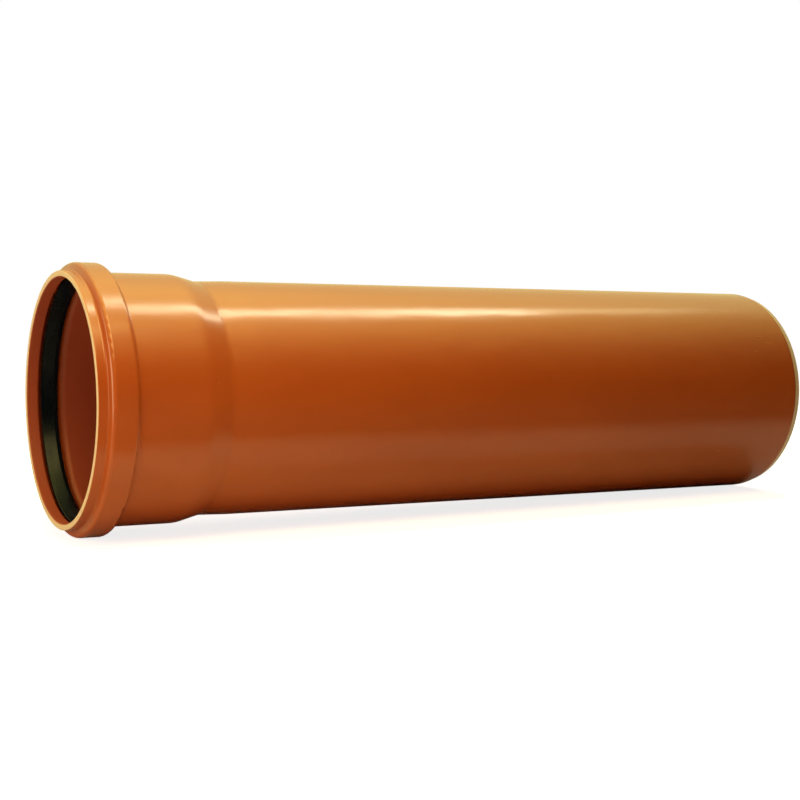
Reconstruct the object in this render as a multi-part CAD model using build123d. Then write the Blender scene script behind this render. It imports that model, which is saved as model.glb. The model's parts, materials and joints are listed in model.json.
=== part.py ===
from build123d import *

import math
import os

# A short length of sewer pipe with a formed socket at one end and a rubber seal ring in the socket's
# groove. Millimetres, +Z up. The pipe lies along X, with its socket towards -X.
# Radii are measured from the pipe's axis, and stations along that axis from the socket's mouth.

# Barrel and spigot
pipe_radius = 80.0
pipe_wall = 4.0
laying_length = 500.0
chamfer_length = 6.0
chamfer_angle = 15.0

# Socket bore and sleeve
insertion_depth = 73.0
spigot_end_play = 0.4
socket_clearance = 0.3
socket_wall = 3.6

# Lip at the mouth
lip_length = 6.4
lip_bore_length = 7.9
lip_clearance = 0.6
lip_wall = 4.0
mouth_rounding_outer = 0.8
mouth_rounding_inner = 1.0

# Groove for the seal, which shows outside as a bulge
groove_depth = 6.2
groove_width = 9.1
groove_rear_run = 4.3
groove_front_rounding = 1.0
groove_floor_rounding = 1.2
groove_rear_rounding = 5.0
bulge_front_run = 1.7
bulge_rear_run = 1.3
bulge_foot_rounding = 1.4
bulge_front_rounding = 2.8
bulge_rear_rounding = 2.8
crease_rounding = 2.4

# Flare from the sleeve down to the barrel, which is drawn in a little at the flare's foot
flare_length = 17.0
flare_shoulder_rounding = 25.0
flare_foot_rounding = 10.0
neck_depth = 0.6
neck_length = 22.0
neck_rounding = 150.0

# Seal ring
seal_squeeze = 1.0
seal_lead_rise = 2.2
seal_lead_length = 8.6
seal_lip_width = 11.4
seal_overhang = 1.7
seal_shoulder = 2.0
seal_waist = 0.6
seal_side_clearance = 0.4
seal_seat_clearance = 0.05
seal_edge_rounding = 0.6

# Radii
sleeve_bore = pipe_radius + socket_clearance
sleeve_radius = sleeve_bore + socket_wall
lip_bore = pipe_radius + lip_clearance
lip_radius = lip_bore + lip_wall
groove_radius = sleeve_bore + groove_depth
bulge_radius = groove_radius + socket_wall
neck_radius = pipe_radius - neck_depth
barrel_bore = pipe_radius - pipe_wall
chamfer_radius = pipe_radius - chamfer_length * math.tan(math.radians(chamfer_angle))
seal_lip_radius = pipe_radius - seal_squeeze
seal_seat_radius = groove_radius - seal_seat_clearance
seal_shoulder_radius = seal_seat_radius - seal_shoulder

# Stations
overall_length = laying_length + insertion_depth
chamfer_start = overall_length - chamfer_length
bulge_front = lip_length + bulge_front_run
groove_front = bulge_front + socket_wall
groove_rear = groove_front + groove_width
bulge_rear = groove_rear + socket_wall
crease = bulge_rear + bulge_rear_run
sleeve_end = insertion_depth + spigot_end_play
flare_end = sleeve_end + flare_length
neck_end = flare_end + neck_length
seal_lip_front = groove_front - seal_overhang
seal_lip_rear = seal_lip_front + seal_lip_width
seal_seat_front = groove_front + seal_side_clearance
seal_seat_rear = groove_rear - seal_side_clearance

# The flare's inner cone is parallel to its outer one.
flare_slope = (sleeve_radius - neck_radius) / flare_length
inner_flare_start = sleeve_end - socket_wall * math.tan(math.atan(flare_slope) / 2)
inner_flare_end = inner_flare_start + (sleeve_bore - barrel_bore) / flare_slope


def rounded_section(corners):
    """The face in the XZ plane through corners of (station, radius, rounding)."""
    outline = [(station, 0, radius) for station, radius, _ in corners]
    section = Face(Wire.make_polygon(outline, close=True))
    for point, (_, _, rounding) in zip(outline, corners):
        if rounding > 0:
            corner = section.vertices().sort_by_distance(point)[0]
            section = section.fillet_2d(rounding, [corner])
    return section


def pipe_section():
    """Mouth, lip, bulge, sleeve, flare, neck, barrel and chamfer outside, then back along the inside."""
    return rounded_section(
        [
            (0, lip_radius, mouth_rounding_outer),
            (lip_length, lip_radius, bulge_foot_rounding),
            (bulge_front, bulge_radius, bulge_front_rounding),
            (bulge_rear, bulge_radius, bulge_rear_rounding),
            (crease, sleeve_radius, crease_rounding),
            (sleeve_end, sleeve_radius, flare_shoulder_rounding),
            (flare_end, neck_radius, flare_foot_rounding),
            (neck_end, pipe_radius, neck_rounding),
            (chamfer_start, pipe_radius, 0),
            (overall_length, chamfer_radius, 0),
            (overall_length, barrel_bore, 0),
            (inner_flare_end, barrel_bore, flare_foot_rounding + pipe_wall),
            (inner_flare_start, sleeve_bore, flare_shoulder_rounding - socket_wall),
            (groove_rear + groove_rear_run, sleeve_bore, groove_rear_rounding),
            (groove_rear, groove_radius, groove_floor_rounding),
            (groove_front, groove_radius, groove_floor_rounding),
            (lip_bore_length, lip_bore, groove_front_rounding),
            (0, lip_bore, mouth_rounding_inner),
        ]
    )


def seal_section():
    """A seat against the groove's floor and a wider lip that leads the spigot in."""
    return rounded_section(
        [
            (seal_lip_front, seal_lip_radius + seal_lead_rise, seal_edge_rounding),
            (seal_lip_front + seal_lead_length, seal_lip_radius, 0),
            (seal_lip_rear, seal_lip_radius, seal_edge_rounding),
            (seal_seat_rear, seal_shoulder_radius, seal_edge_rounding),
            (seal_seat_rear, seal_seat_radius, groove_floor_rounding),
            (seal_seat_front, seal_seat_radius, groove_floor_rounding),
            (seal_seat_front - seal_waist, seal_shoulder_radius, seal_edge_rounding),
        ]
    )


def rest_on_floor():
    """The turn about Y, in degrees, and the mouth's height at which the pipe lies unheld.

    It lies on the rounded rear corner of the bulge and on the edge where the chamfer begins, so its
    axis falls a little towards the spigot.
    """
    flank = math.atan2(bulge_radius - sleeve_radius, bulge_rear_run)
    station = bulge_rear - bulge_rear_rounding * math.tan(flank / 2)
    radius = bulge_radius - bulge_rear_rounding
    drop = radius - pipe_radius
    span = chamfer_start - station
    turn = math.acos(-bulge_rear_rounding / math.hypot(drop, span)) - math.atan2(span, drop)
    height = bulge_rear_rounding + radius * math.cos(turn) + station * math.sin(turn)
    return math.degrees(turn), height


pipe_axis = Axis((0, 0, 0), (1, 0, 0))
turn, mouth_height = rest_on_floor()
resting = Pos(0, 0, mouth_height) * Rot(0, turn, 0)
pieces = {
    "pipe": resting * revolve(pipe_section(), pipe_axis, 360),
    "seal_ring": resting * revolve(seal_section(), pipe_axis, 360),
}
box = pieces["pipe"].bounding_box()
to_centre = Pos(-(box.min.X + box.max.X) / 2, 0, 0)

os.makedirs("parts", exist_ok=True)
for name, piece in pieces.items():
    placed = to_centre * piece
    export_step(placed, f"parts/{name}.step")
    extent = placed.bounding_box()
    print(name, round(placed.volume), "mm3", extent.min, extent.max)
mouth = to_centre * resting * Location((0, 0, 0))
print("mouth centre", mouth.position, "turn", round(turn, 4), "degrees")
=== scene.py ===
# %% [markdown]
# # A short length of orange-brown sewer pipe
#
# The real object is one extruded pipe of rigid PVC. One end was heated and formed over a mandrel into a
# socket, with a bulge around the groove that holds a black rubber seal. The other end is sawn square and
# slightly chamfered. It lies on its bulge and its far end on a white sweep.
#
# The pipe and the seal come from the CAD model, whose shapes are right, so this script gives them their
# finish, and adds the studio around them. Everything is in metres.

import json
import math

import bmesh
import bpy
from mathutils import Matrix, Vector

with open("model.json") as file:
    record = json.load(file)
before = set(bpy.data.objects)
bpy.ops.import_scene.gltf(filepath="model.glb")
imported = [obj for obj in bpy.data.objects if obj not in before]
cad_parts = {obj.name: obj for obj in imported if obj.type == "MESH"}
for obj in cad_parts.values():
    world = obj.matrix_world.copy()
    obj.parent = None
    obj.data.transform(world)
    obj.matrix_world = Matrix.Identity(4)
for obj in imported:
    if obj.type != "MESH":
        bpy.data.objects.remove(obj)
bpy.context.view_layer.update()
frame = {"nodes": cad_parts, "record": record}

# %% [markdown]
# ## Where the pipe's axis runs
#
# Lines and scuffs on an extruded pipe follow its length, so the finishes need to know where the axis is. It
# could be typed in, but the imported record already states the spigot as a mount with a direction. Measuring
# the mesh along that direction then gives the mouth and the sawn end, so a changed pipe keeps its finish.

# %% Measure the pipe along its axis
pipe = frame["nodes"]["pipe"]
seal = frame["nodes"]["seal_ring"]
spigot = next(mount for mount in frame["record"]["mounts"] if mount["name"] == "spigot")
axis = Vector(spigot["axis"]).normalized()
axis_point = Vector(spigot["pos_m"])
stations = [(vertex.co - axis_point).dot(axis) for vertex in pipe.data.vertices]
mouth = axis_point + min(stations) * axis
pipe_length = max(stations) - min(stations)
turn = math.atan2(-axis.z, axis.x)
print("mouth", tuple(round(value, 4) for value in mouth))
print("pipe length", round(pipe_length, 4), "turn", round(math.degrees(turn), 3))

# %% [markdown]
# ## Helpers for nodes
#
# A finish is a small tree of nodes, which the editor shows as boxes and wires. Written out it grows long, so
# one helper adds a node, sets it and wires it. The others name the few kinds of node that are used here.

# %% Helpers for nodes
def add(tree, kind, inputs=None, output=0, **settings):
    """Adds a node, sets it, wires or fills its inputs, and gives the named output back."""
    made = tree.nodes.new(kind)
    for name, value in settings.items():
        setattr(made, name, value)
    for key, value in (inputs or {}).items():
        if isinstance(value, bpy.types.NodeSocket):
            tree.links.new(value, made.inputs[key])
        else:
            made.inputs[key].default_value = value
    return made.outputs[output]


def maths(tree, operation, first, second=0.0):
    """The result of one operation on two values."""
    return add(tree, "ShaderNodeMath", {0: first, 1: second}, operation=operation)


def ramp(tree, value, start, end, low=0.0, high=1.0, kind="SMOOTHSTEP"):
    """A step that is low up to start and high from end on, smooth unless its kind says otherwise."""
    inputs = {"Value": value, "From Min": start, "From Max": end, "To Min": low, "To Max": high}
    return add(tree, "ShaderNodeMapRange", inputs, interpolation_type=kind)


def blend_colour(tree, share, first, second, blend_type="MIX"):
    """Two colours mixed by a share."""
    inputs = {"Factor": share, 6: first, 7: second}
    return add(tree, "ShaderNodeMix", inputs, output=2, data_type="RGBA", blend_type=blend_type)


def new_material(name):
    """An empty material, and its tree and Principled shader."""
    material = bpy.data.materials.new(name)
    material.use_nodes = True
    tree = material.node_tree
    return material, tree, tree.nodes["Principled BSDF"]


# %% [markdown]
# ## Helpers for patterns that follow the pipe
#
# A pattern has to run along the pipe, which lies a little askew to the world. A Mapping node of the Texture
# kind turns Object coordinates into the pipe's own, with X along the axis from the mouth, because that kind
# undoes the piece's place and slope. Noise is then stretched by giving it another scale across than along.

# %% Helpers for patterns that follow the pipe
def pipe_coordinates(tree):
    """Places along the pipe: X is the station from the mouth, Y and Z lie across the axis."""
    place = add(tree, "ShaderNodeTexCoord", output="Object")
    inputs = {"Vector": place, "Location": mouth, "Rotation": (0, turn, 0)}
    return add(tree, "ShaderNodeMapping", inputs, vector_type="TEXTURE")


def noise(tree, place, across, along, detail=2.0, roughness=0.5):
    """Noise from 0 to 1, with its features for each metre across the axis and along it."""
    scales = {0: place, 1: (along, across, across)}
    stretched = add(tree, "ShaderNodeVectorMath", scales, operation="MULTIPLY")
    inputs = {"Vector": stretched, "Scale": 1.0, "Detail": detail, "Roughness": roughness}
    return add(tree, "ShaderNodeTexNoise", inputs, output="Fac")


def bump(tree, height, depth, normal=None):
    """Relief of a real depth, in metres, over the relief that it is given."""
    inputs = {"Height": height, "Distance": depth}
    if normal:
        inputs["Normal"] = normal
    return add(tree, "ShaderNodeBump", inputs)


# %% [markdown]
# ## Which part of the pipe is bore
#
# The bore cools without touching a polished tool, so it is duller and a little redder than the outside. It
# could have a material of its own, but the pipe is one solid with one slot, so the material itself has to
# tell inside from outside. A surface belongs to the bore where it lies nearer the axis than the middle of
# the wall, and that middle follows the flare. The sizes are the CAD model's.

# %% Which part of the pipe is bore
sleeve_bore = 0.0803
sleeve_radius = 0.0839
barrel_bore = 0.0760
neck_radius = 0.0794
sleeve_end = 0.0734
flare_end = 0.0904
mid_wall_socket = (sleeve_bore + sleeve_radius) / 2
mid_wall_barrel = (barrel_bore + neck_radius) / 2


def bore_share(tree, axes):
    """1 on the surfaces inside the pipe, and 0 outside."""
    across = add(tree, "ShaderNodeCombineXYZ", {"Y": axes.outputs["Y"], "Z": axes.outputs["Z"]})
    radius = add(tree, "ShaderNodeVectorMath", {0: across}, output="Value", operation="LENGTH")
    station = axes.outputs["X"]
    mid_wall = ramp(tree, station, sleeve_end, flare_end, mid_wall_socket, mid_wall_barrel, "LINEAR")
    return maths(tree, "LESS_THAN", radius, mid_wall)


print("bore inside a radius of", round(mid_wall_socket, 4), "then", round(mid_wall_barrel, 4))

# %% [markdown]
# ## Where the pipe is cut
#
# A sawn edge is duller than a polished one, because the saw leaves a fine broken surface, and it is painted
# pale, partly for that surface and partly as a painted highlight along the edge. Only the rim at the mouth
# counts there. At the far end most of the chamfer is made as dull and painted as pale, a painted highlight
# that shows from the front as a thin pale line.

# %% Where the pipe is cut
rim_start = 0.0005
rim_full = 0.00005
# The chamfer's pale band at the far end is a painted highlight.
chamfer_highlight_start = 0.0054
chamfer_highlight_full = 0.00432


def cut_and_highlight_share(tree, axes):
    """1 on the cut rim and on the chamfer, where the pale colour is partly a painted highlight, and 0
    elsewhere.
    """
    station = axes.outputs["X"]
    rim = ramp(tree, station, rim_start, rim_full)
    chamfer_highlight = ramp(tree, station, pipe_length - chamfer_highlight_start, pipe_length - chamfer_highlight_full)
    return maths(tree, "MAXIMUM", rim, chamfer_highlight)


print("pale from", round(pipe_length - chamfer_highlight_full, 4), "to the end at", round(pipe_length, 4))

# %% [markdown]
# ## Scuffs
#
# Handling leaves short scuffs, mostly along the length, which break up a highlight. They could be drawn one
# by one, but fine noise that is longer along the pipe than across it already has such marks in its peaks. A
# second, broad noise keeps them to a few patches.
#
# The noise is read at places in space, not on an unrolled surface, so no seam shows around the pipe.

# %% Scuffs
mark_start = 0.68
mark_full = 0.76
patch_start = 0.48
patch_full = 0.66


def scuff_share(tree, place):
    """1 on the scuffs, and 0 between them."""
    marks = noise(tree, place, across=330, along=45, roughness=0.6)
    patches = noise(tree, place, across=30, along=12, detail=1.0)
    marks = ramp(tree, marks, mark_start, mark_full)
    patches = ramp(tree, patches, patch_start, patch_full)
    return maths(tree, "MULTIPLY", marks, patches)


print("scuffs where the fine noise passes", mark_start, "and the broad one", patch_start)

# %% [markdown]
# ## The colours of the plastic
#
# The colour comes from pigment all through, so it is even, with only a faint cloudiness. The other colours
# are laid over it in turn, each by its share: the scuffs as a faint tint, the bore, and last the cut edges,
# because a saw cuts through all the rest. Their pale colour is partly the sawn surface and partly a painted
# highlight.

# %% The colours of the plastic
PVC = (0.475, 0.088, 0.0170, 1.0)
PVC_CLOUD = (0.440, 0.078, 0.0140, 1.0)
PVC_SCUFF = (0.560, 0.160, 0.040, 1.0)
PVC_BORE = (0.440, 0.072, 0.0300, 1.0)
# The pale cut-edge colour is partly the sawn surface and partly a painted highlight.
PVC_SAWN_AND_HIGHLIGHT = (0.820, 0.570, 0.370, 1.0)
scuff_tint = 0.10


def plastic_colour(tree, cloud, scuffs, bore, cut_and_highlight):
    """Orange-brown, clouded, with paler scuffs, a redder bore, and pale cut edges that are partly a painted
    highlight.
    """
    colour = blend_colour(tree, ramp(tree, cloud, start=0.35, end=0.70), PVC, PVC_CLOUD)
    colour = blend_colour(tree, maths(tree, "MULTIPLY", scuffs, scuff_tint), colour, PVC_SCUFF)
    colour = blend_colour(tree, bore, colour, PVC_BORE)
    return blend_colour(tree, cut_and_highlight, colour, PVC_SAWN_AND_HIGHLIGHT)


print("plastic", PVC[:3])

# %% [markdown]
# ## The gloss of the plastic
#
# Rigid PVC is glossy where the die and the mandrel polished it. An even gloss looks like glass, so the
# roughness is a sum: the polished plastic, a little rougher where it is clouded, and then what each mark
# adds. Faint lines run along the length where the die dragged.

# %% The gloss of the plastic
polished_roughness = 0.175
clouded_roughness = 0.235
line_dullness = 0.030
scuff_dullness = 0.06
bore_dullness = 0.34
cut_dullness = 0.35


def plastic_roughness(tree, cloud, lines, scuffs, bore, cut_and_highlight):
    """Polished plastic, and what each mark adds to its roughness."""
    roughness = ramp(tree, cloud, 0.30, 0.75, polished_roughness, clouded_roughness)
    roughness = maths(tree, "ADD", roughness, ramp(tree, lines, 0.40, 0.75, 0.0, line_dullness))
    for share, dullness in ((scuffs, scuff_dullness), (bore, bore_dullness), (cut_and_highlight, cut_dullness)):
        roughness = maths(tree, "ADD", roughness, maths(tree, "MULTIPLY", share, dullness))
    return roughness


print("roughness", polished_roughness, "to", clouded_roughness)

# %% [markdown]
# ## The relief of the plastic
#
# No extruded pipe is perfectly straight-sided, and its highlight shows it. The shape itself stays as the CAD
# model has it, so a chain of Bump nodes tilts the light instead: broad waves that bend a highlight, then
# ripples, and at last the die's lines and the scuffs, which only catch it.

# %% The relief of the plastic
wave_depth = 0.00045
ripple_depth = 0.00006
line_depth = 0.000008
scuff_depth = 0.000004


def plastic_relief(tree, place, lines, scuffs):
    """Broad waves, ripples, die lines and scuffs, each over the one before."""
    waves = noise(tree, place, across=30, along=14)
    ripples = noise(tree, place, across=110, along=55)
    relief = bump(tree, waves, wave_depth)
    relief = bump(tree, ripples, ripple_depth, relief)
    relief = bump(tree, lines, line_depth, relief)
    return bump(tree, scuffs, scuff_depth, relief)


print("waves", wave_depth, "ripples", ripple_depth)

# %% [markdown]
# ## The pipe's plastic
#
# One shader carries it all. Each pattern is made once and then handed to the colour, the gloss and the
# relief, so that a scuff is paler, duller and slightly raised at the same place. The die's lines are noise
# whose scale is small along the axis and large across it.

# %% The pipe's plastic
PVC_IOR = 1.53


def pipe_plastic():
    """The pipe's whole finish."""
    material, tree, shader = new_material("orange_brown_pvc")
    place = pipe_coordinates(tree)
    axes = add(tree, "ShaderNodeSeparateXYZ", {0: place}).node
    cloud = noise(tree, place, across=22, along=9, detail=3.0)
    lines = noise(tree, place, across=420, along=2.5, detail=1.5)
    scuffs = scuff_share(tree, place)
    bore = bore_share(tree, axes)
    # The cut edges' mask also places a painted highlight on the rim and the chamfer.
    cut_and_highlight = cut_and_highlight_share(tree, axes)

    colour = plastic_colour(tree, cloud, scuffs, bore, cut_and_highlight)
    roughness = plastic_roughness(tree, cloud, lines, scuffs, bore, cut_and_highlight)
    relief = plastic_relief(tree, place, lines, scuffs)
    tree.links.new(colour, shader.inputs["Base Color"])
    tree.links.new(roughness, shader.inputs["Roughness"])
    tree.links.new(relief, shader.inputs["Normal"])
    shader.inputs["IOR"].default_value = PVC_IOR
    return material


pipe.material_slots["pipe_plastic"].material = pipe_plastic()
print("pipe finish", pipe.material_slots[0].material.name)

# %% [markdown]
# ## The seal's rubber
#
# The seal is moulded rubber, black with carbon, satin rather than glossy, and slightly dusty where a finger
# or a spigot has rubbed it. A mould leaves a fine grain. Noise in two sizes gives the grain and the dust.

# %% The seal's rubber
RUBBER = (0.0026, 0.0046, 0.0085, 1.0)
RUBBER_DUST = (0.0050, 0.0085, 0.0145, 1.0)
clean_roughness = 0.24
dusty_roughness = 0.34
grain_depth = 0.00001
rubber_shine = 0.12


def seal_rubber():
    """Black rubber with a fine grain and a little dust."""
    material, tree, shader = new_material("black_rubber")
    place = pipe_coordinates(tree)
    grain = noise(tree, place, across=2600, along=2600, detail=1.0)
    dust = noise(tree, place, across=60, along=160, detail=4.0, roughness=0.65)
    colour = blend_colour(tree, ramp(tree, dust, start=0.42, end=0.72), RUBBER, RUBBER_DUST)
    roughness = ramp(tree, dust, 0.35, 0.75, clean_roughness, dusty_roughness)
    relief = bump(tree, grain, grain_depth)
    tree.links.new(colour, shader.inputs["Base Color"])
    tree.links.new(roughness, shader.inputs["Roughness"])
    tree.links.new(relief, shader.inputs["Normal"])
    shader.inputs["Specular IOR Level"].default_value = rubber_shine
    return material


seal.material_slots["seal_rubber"].material = seal_rubber()
print("seal finish", seal.material_slots[0].material.name)

# %% [markdown]
# ## The floor's paper
#
# The pipe lies on white paper. To the camera the paper has to read as pure white and still keep the pipe's
# soft shadow. More lamp light would bleach the pipe, so the paper gets a little light of its own, which only
# the camera sees. It is weaker near the pipe, so that the shadow stays, and the pipe is long, so a distance
# along it counts half.
#
# In front of the pipe the paper ends, and what the plastic mirrors from there is dark. A Light Path node
# tells a mirrored ray from the camera's own, which still sees paper there.

# %% The floor's paper
PAPER = (0.86, 0.86, 0.86, 1.0)
DARK = (0.012, 0.012, 0.012, 1.0)
WHITE = (1.0, 1.0, 1.0, 1.0)
paper_roughness = 0.9
paper_front = -0.160
paper_fade = 0.030
glow_near = 0.80
glow_far = 1.0
near_reach = 0.10
far_reach = 0.34
reach_scale = (0.5, 1.0, 1.0)


def floor_paper():
    """White paper that glows to the camera alone and ends in the mirrored view."""
    material, tree, shader = new_material("white_paper")
    place = add(tree, "ShaderNodeTexCoord", output="Object")
    light_path = add(tree, "ShaderNodeLightPath").node
    across = add(tree, "ShaderNodeSeparateXYZ", {0: place}, output="Y")
    in_front = ramp(tree, across, paper_front + paper_fade, paper_front - paper_fade)
    mirrored = maths(tree, "MULTIPLY", in_front, light_path.outputs["Is Glossy Ray"])
    around = add(tree, "ShaderNodeVectorMath", {0: place, 1: reach_scale}, operation="MULTIPLY")
    reach = add(tree, "ShaderNodeVectorMath", {0: around}, output="Value", operation="LENGTH")
    glow = ramp(tree, reach, near_reach, far_reach, glow_near, glow_far)
    glow = maths(tree, "MULTIPLY", light_path.outputs["Is Camera Ray"], glow)
    tree.links.new(blend_colour(tree, mirrored, PAPER, DARK), shader.inputs["Base Color"])
    tree.links.new(glow, shader.inputs["Emission Strength"])
    shader.inputs["Emission Color"].default_value = WHITE
    shader.inputs["Roughness"].default_value = paper_roughness
    shader.inputs["Specular IOR Level"].default_value = 0.0
    return material


print("paper ends at", paper_front, "and its glow goes from", glow_near, "to", glow_far)

# %% [markdown]
# ## The floor
#
# The paper is one flat sheet, so wide that its far edge lies white against the white room and isn't seen. A
# grid of one square is enough.

# %% The floor
floor_width = 12.0


def make_floor():
    """A flat square sheet at height zero."""
    shape = bmesh.new()
    bmesh.ops.create_grid(shape, x_segments=1, y_segments=1, size=floor_width / 2)
    mesh = bpy.data.meshes.new("floor")
    shape.to_mesh(mesh)
    shape.free()
    mesh.materials.append(floor_paper())
    made = bpy.data.objects.new("floor", mesh)
    bpy.context.scene.collection.objects.link(made)
    return made


floor = make_floor()
print(floor.name, "is", floor_width, "wide, with", len(floor.data.polygons), "face")

# %% [markdown]
# ## A lamp
#
# An area lamp is told its power in watts, but what a glossy pipe mirrors is how bright the lamp's face is.
# So this helper is given that radiance, and works the power out from the lamp's size. A larger lamp then
# looks as bright in the plastic, and lights more.

# %% A lamp
def soft_lamp(name, centre, aim, width, depth, radiance, colour, roll=0.0, mirrored=True):
    """A rectangular lamp whose face has this radiance and looks from its centre at a point."""
    data = bpy.data.lights.new(name, "AREA")
    data.shape = "RECTANGLE"
    data.size = width
    data.size_y = depth
    data.energy = radiance * math.pi * width * depth
    data.color = colour
    made = bpy.data.objects.new(name, data)
    made.location = centre
    made.rotation_euler = (Vector(aim) - Vector(centre)).to_track_quat("-Z", "Y").to_euler()
    made.rotation_euler.rotate_axis("Z", roll)
    made.visible_camera = False
    made.visible_glossy = mirrored
    bpy.context.scene.collection.objects.link(made)
    print("lamp", name, "of", round(data.energy, 2), "watts")


# %% [markdown]
# ## The strip above
#
# What a glossy pipe looks like is mostly what it mirrors. Tracing the long highlight back from the camera
# lands on a narrow line about a metre above the pipe, so a strip lamp hangs there, a little askew, with a
# dim tail where the highlight fades.

# %% The strip above
STRIP_LIGHT = (1.0, 1.0, 0.68)
TAIL_LIGHT = (1.0, 0.96, 0.54)
strip_start = Vector((-0.06, -0.05, 1.0))
strip_end = Vector((0.66, 0.12, 1.0))
tail_centre = Vector((0.82, 0.20, 1.0))
tail_length = 0.34
strip_width = 0.12
strip_run = strip_end - strip_start
strip_centre = (strip_start + strip_end) / 2
strip_roll = math.atan2(strip_run.y, strip_run.x)
metre_down = Vector((0.0, 0.0, -1.0))

soft_lamp(
    "strip", strip_centre, strip_centre + metre_down, width=strip_run.length, depth=strip_width,
    radiance=12.2, colour=STRIP_LIGHT, roll=strip_roll,
)
soft_lamp(
    "strip_tail", tail_centre, tail_centre + metre_down, width=tail_length, depth=strip_width,
    radiance=2.7, colour=TAIL_LIGHT, roll=strip_roll,
)

# %% [markdown]
# ## The key lamp and the lamps to the left
#
# A warm key lamp, above the socket and in front of it, lights the near end and fades along the barrel. Two
# lamps to the left draw the pale line on the bulge's front edge and light the cut rim.

# %% The key lamp and the lamps to the left
KEY_LIGHT = (1.0, 0.79, 0.30)
LEFT_LIGHT = (1.0, 0.90, 0.54)
near_barrel = (-0.10, 0.0, 0.09)
socket = (-0.28, 0.0, 0.09)

soft_lamp(
    "key", (-0.30, -0.36, 0.63), near_barrel, width=0.40, depth=0.40, radiance=6.3, colour=KEY_LIGHT,
)
soft_lamp(
    "left", (-1.20, -0.05, 0.25), socket, width=0.40, depth=0.50, radiance=5.4, colour=LEFT_LIGHT,
)
soft_lamp(
    "left_back", (-1.05, 0.35, 0.25), socket, width=0.50, depth=0.50, radiance=1.8, colour=LEFT_LIGHT,
)

# %% [markdown]
# ## The fills
#
# Three fills only lift the shadows: one low in front, one close to the mouth and one behind. They aren't
# mirrored, because the photo shows no trace of them in the plastic.

# %% The fills
LOW_LIGHT = (1.0, 0.85, 0.55)
BACK_LIGHT = (1.0, 0.97, 0.80)

soft_lamp(
    "low_fill", (-0.22, -0.45, 0.03), (-0.20, 0.0, 0.07), width=0.30, depth=0.14,
    radiance=0.9, colour=LOW_LIGHT, mirrored=False,
)
soft_lamp(
    "mouth_fill", (-0.43, -0.30, 0.06), (-0.27, -0.07, 0.06), width=0.16, depth=0.12,
    radiance=2.4, colour=LOW_LIGHT, mirrored=False,
)
soft_lamp(
    "back_fill", (0.40, 0.75, 0.60), (0.12, 0.0, 0.10), width=0.90, depth=0.50,
    radiance=1.9, colour=BACK_LIGHT, mirrored=False,
)

# %% [markdown]
# ## The room
#
# The world is the backdrop, and it is plain white to the camera. What the plastic mirrors is a warm white
# sweep behind the pipe and a bright ceiling, which together make the pale band along its top. The room
# behind the camera is dark, so the front keeps its deep orange. The world lights nothing by itself.

# %% The room
BACKDROP = (0.92, 0.95, 0.40, 1.0)
CEILING = (5.4, 5.1, 1.30, 1.0)
BLACK = (0.0, 0.0, 0.0, 1.0)
backdrop_start = -0.10
backdrop_full = 0.45
ceiling_fade = 4.5


def make_room():
    """A world that is white to the camera, and a backdrop with a ceiling to a mirrored ray."""
    world = bpy.data.worlds.new("room")
    bpy.context.scene.world = world
    world.use_nodes = True
    tree = world.node_tree
    background = tree.nodes["Background"]
    light_path = add(tree, "ShaderNodeLightPath").node
    seen = light_path.outputs["Is Camera Ray"]
    direction = add(tree, "ShaderNodeTexCoord", output="Generated")
    parts = add(tree, "ShaderNodeSeparateXYZ", {0: direction}).node
    behind = ramp(tree, parts.outputs["Y"], backdrop_start, backdrop_full)
    upwards = maths(tree, "MAXIMUM", parts.outputs["Z"])
    above = maths(tree, "POWER", upwards, ceiling_fade)
    mirrored = blend_colour(tree, behind, BLACK, BACKDROP)
    mirrored = blend_colour(tree, above, mirrored, CEILING, "ADD")
    strength = maths(tree, "ADD", seen, light_path.outputs["Is Glossy Ray"])
    tree.links.new(strength, background.inputs["Strength"])
    tree.links.new(blend_colour(tree, seen, mirrored, WHITE), background.inputs["Color"])


make_room()
print("room ceiling", CEILING[:3], "backdrop", BACKDROP[:3])

# %% [markdown]
# ## The camera
#
# The photograph was solved as a perspective view of a solid of revolution, which gave the camera's place,
# its turn and its lens. The picture has no roll and no shift.

# %% The camera
camera_place = (-0.5496, -0.9346, 0.1589)
camera_turn = -28.953
camera_pitch = -4.120
camera_lens = 65.505
camera_sensor = 36.0

camera_data = bpy.data.cameras.new("camera")
camera_data.sensor_width = camera_sensor
camera_data.lens = camera_lens
camera = bpy.data.objects.new("camera", camera_data)
camera.location = camera_place
camera.rotation_euler = (math.radians(90 + camera_pitch), 0, math.radians(camera_turn))
bpy.context.scene.collection.objects.link(camera)
bpy.context.scene.camera = camera
bpy.context.scene.view_settings.view_transform = "Standard"
print("camera at", camera_place, "lens", camera_lens)
